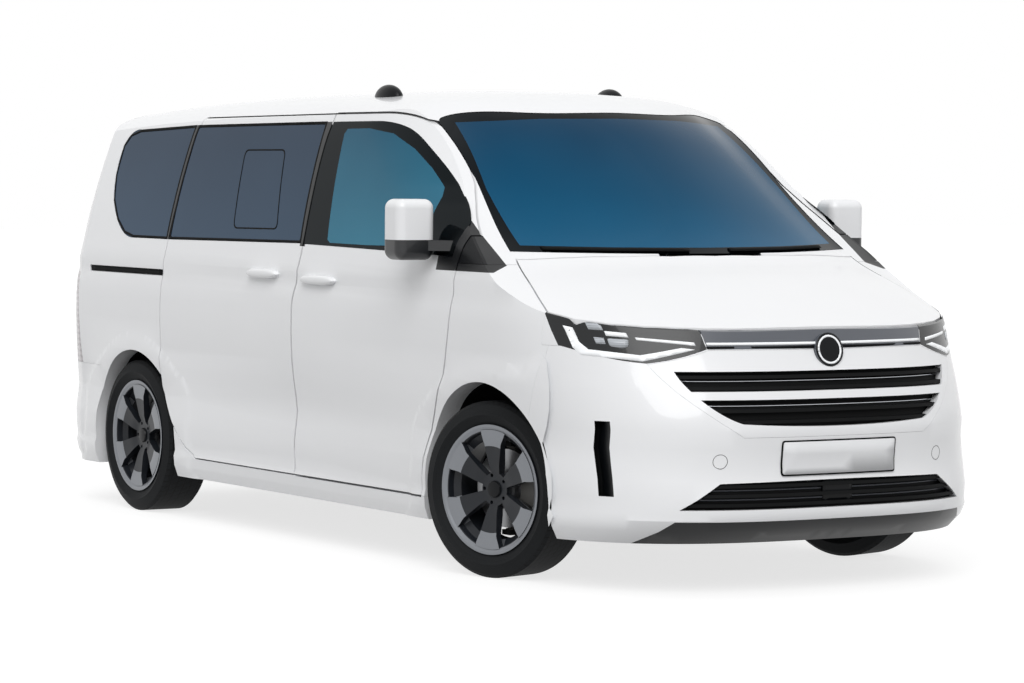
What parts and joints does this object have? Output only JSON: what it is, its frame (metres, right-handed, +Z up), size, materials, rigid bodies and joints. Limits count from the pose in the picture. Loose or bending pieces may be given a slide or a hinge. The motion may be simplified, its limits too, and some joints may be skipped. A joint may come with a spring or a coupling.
{
  "type": "minibus",
  "caption": "Five-door minibus with a hollow cabin, sliding side doors, hinged front doors, lifting tailgate and bonnet, steered front wheels and rolling road wheels.",
  "frame": {"origin": "on the ground under the middle of the length and width", "axes": "+X towards the front, +Y to the vehicle's left, +Z up"},
  "size_m": [5.0475, 2.33, 1.9699],
  "materials": {
    "white_paint": "gloss white paint",
    "black_trim": "gloss black",
    "dark_plastic": "matt grained black",
    "lamp_housing": "clear cover over a dark housing",
    "tail_lamp_lens": "pale clear lens",
    "blue_glass": "tinted",
    "privacy_glass": "dark tinted",
    "tyre_rubber": "matt",
    "alloy": "machined face, grey between",
    "cast_iron": "bare",
    "brake_steel": "turned",
    "black_steel": "satin black",
    "seat_cloth": "woven dark grey",
    "carpet": "short pile"
  },
  "bodies": {
    "body": {"cowl_panel": "dark_plastic", "dashboard": "dark_plastic", "engine_block": "black_steel", "exhaust": "black_steel", "fenders": "white_paint", "floor_pan": "carpet", "front_bumper": "white_paint", "front_seats": "seat_cloth", "front_suspension": "black_steel", "fuel_tank": "black_steel", "grille_surround": "white_paint", "grilles": "dark_plastic", "headlamps": "lamp_housing", "light_band": "lamp_housing", "middle_seats": "seat_cloth", "pillar_trims": "black_trim", "quarter_glass": "privacy_glass", "rear_axle": "black_steel", "rear_bench": "seat_cloth", "rear_bumper": "white_paint", "roof_panel": "white_paint", "roof_pods": "dark_plastic", "side_panel_left": "white_paint", "side_panel_right": "white_paint", "sliding_door_glass": "privacy_glass", "sliding_door_left": "white_paint", "sliding_door_right": "white_paint", "steering_wheel": "dark_plastic", "tail_lamps": "tail_lamp_lens", "wheel_arch_liners": "dark_plastic", "windscreen": "blue_glass"},
    "front_door_left": {"front_door_left": "white_paint", "front_door_glass_left": "blue_glass", "mirror_left": "white_paint"},
    "front_door_right": {"front_door_right": "white_paint", "front_door_glass_right": "blue_glass", "mirror_right": "white_paint"},
    "tailgate": {"tailgate": "white_paint", "tailgate_glass": "privacy_glass"},
    "bonnet": {"bonnet": "white_paint"},
    "knuckle_left": {"knuckle_left": "cast_iron"},
    "knuckle_right": {"knuckle_right": "cast_iron"},
    "wheel_front_left": {"wheel_front_left": "alloy", "tyre_front_left": "tyre_rubber", "brake_disc_front_left": "brake_steel"},
    "wheel_front_right": {"wheel_front_right": "alloy", "tyre_front_right": "tyre_rubber", "brake_disc_front_right": "brake_steel"},
    "wheel_rear_left": {"wheel_rear_left": "alloy", "tyre_rear_left": "tyre_rubber", "brake_disc_rear_left": "brake_steel"},
    "wheel_rear_right": {"wheel_rear_right": "alloy", "tyre_rear_right": "tyre_rubber", "brake_disc_rear_right": "brake_steel"}
  },
  "joints": [
    {"name": "steer_left", "type": "hinge", "parent": "body", "child": "knuckle_left", "pos_m": [1.465, 0.8335, 0.35], "axis": [0, 0, 1], "range_deg": [-50.6, 19.4]},
    {"name": "steer_right", "type": "hinge", "parent": "body", "child": "knuckle_right", "pos_m": [1.465, -0.8335, 0.35], "axis": [0, 0, 1], "range_deg": [-50.6, 19.4]},
    {"name": "spin_front_left", "type": "hinge", "parent": "knuckle_left", "child": "wheel_front_left", "pos_m": [1.45586, 0.86625, 0.35], "axis": [-0.2689, 0.9632, 0], "continuous": true},
    {"name": "spin_front_right", "type": "hinge", "parent": "knuckle_right", "child": "wheel_front_right", "pos_m": [1.47414, -0.86625, 0.35], "axis": [-0.2689, 0.9632, 0], "continuous": true},
    {"name": "spin_rear_left", "type": "hinge", "parent": "body", "child": "wheel_rear_left", "pos_m": [-1.635, 0.8675, 0.35], "axis": [0, 1, 0], "continuous": true},
    {"name": "spin_rear_right", "type": "hinge", "parent": "body", "child": "wheel_rear_right", "pos_m": [-1.635, -0.8675, 0.35], "axis": [0, 1, 0], "continuous": true},
    {"name": "front_door_left_hinge", "type": "hinge", "parent": "body", "child": "front_door_left", "pos_m": [1.285, 1, 0.9], "axis": [0, 0, -1], "range_deg": [0, 65]},
    {"name": "front_door_right_hinge", "type": "hinge", "parent": "body", "child": "front_door_right", "pos_m": [1.285, -1, 0.9], "axis": [0, 0, 1], "range_deg": [0, 65]},
    {"name": "tailgate_hinge", "type": "hinge", "parent": "body", "child": "tailgate", "pos_m": [-2.2, 0, 1.888], "axis": [0, 1, 0], "range_deg": [0, 85]},
    {"name": "bonnet_hinge", "type": "hinge", "parent": "body", "child": "bonnet", "pos_m": [1.43, 0, 1.28], "axis": [0, -1, 0], "range_deg": [0, 45]}
  ],
  "couplings": [
    {"joint": "steer_right", "follows": "steer_left", "ratio": 1}
  ]
}
